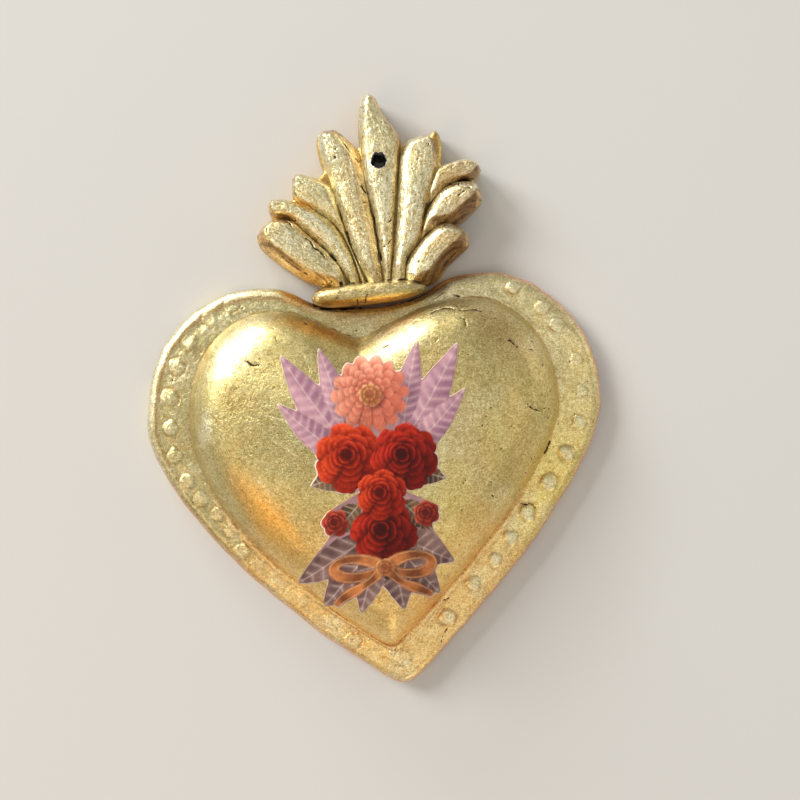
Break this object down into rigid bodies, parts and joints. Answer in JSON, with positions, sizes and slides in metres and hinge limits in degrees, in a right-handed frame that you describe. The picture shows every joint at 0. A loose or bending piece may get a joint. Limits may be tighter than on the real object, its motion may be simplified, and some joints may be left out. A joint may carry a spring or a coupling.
{
  "type": "ceramic sacred heart ornament",
  "caption": "Gilded ceramic wall heart: a puffed hollow heart on a beaded plate, crowned by pressed clay tongues of flame with a hanging hole, and a printed flower spray on its face.",
  "frame": {"origin": "on the flat back face of the heart plate, in the middle of the heart's width and of its height from the tip's rounding to the lobes", "axes": "+Z out of the puffed face, away from the wall; +Y towards the top of the flame; +X to the right seen from the front"},
  "size_m": [0.1166, 0.15, 0.0217],
  "materials": {
    "gilded_clay": "pale gold leaf, brushed and rubbed, over fired clay",
    "printed_paper": "satin varnished print"
  },
  "bodies": {
    "root": {"heart_plate": "gilded_clay", "heart_dome": "gilded_clay", "flame_plate": "gilded_clay", "crown_roll": "gilded_clay", "tongue_far_left": "gilded_clay", "tongue_left": "gilded_clay", "tongue_upper_left": "gilded_clay", "tongue_tall_left": "gilded_clay", "tongue_centre": "gilded_clay", "tongue_tall_right": "gilded_clay", "tongue_upper_right": "gilded_clay", "tongue_right": "gilded_clay", "tongue_far_right": "gilded_clay", "print_patch": "printed_paper"}
  },
  "joints": []
}
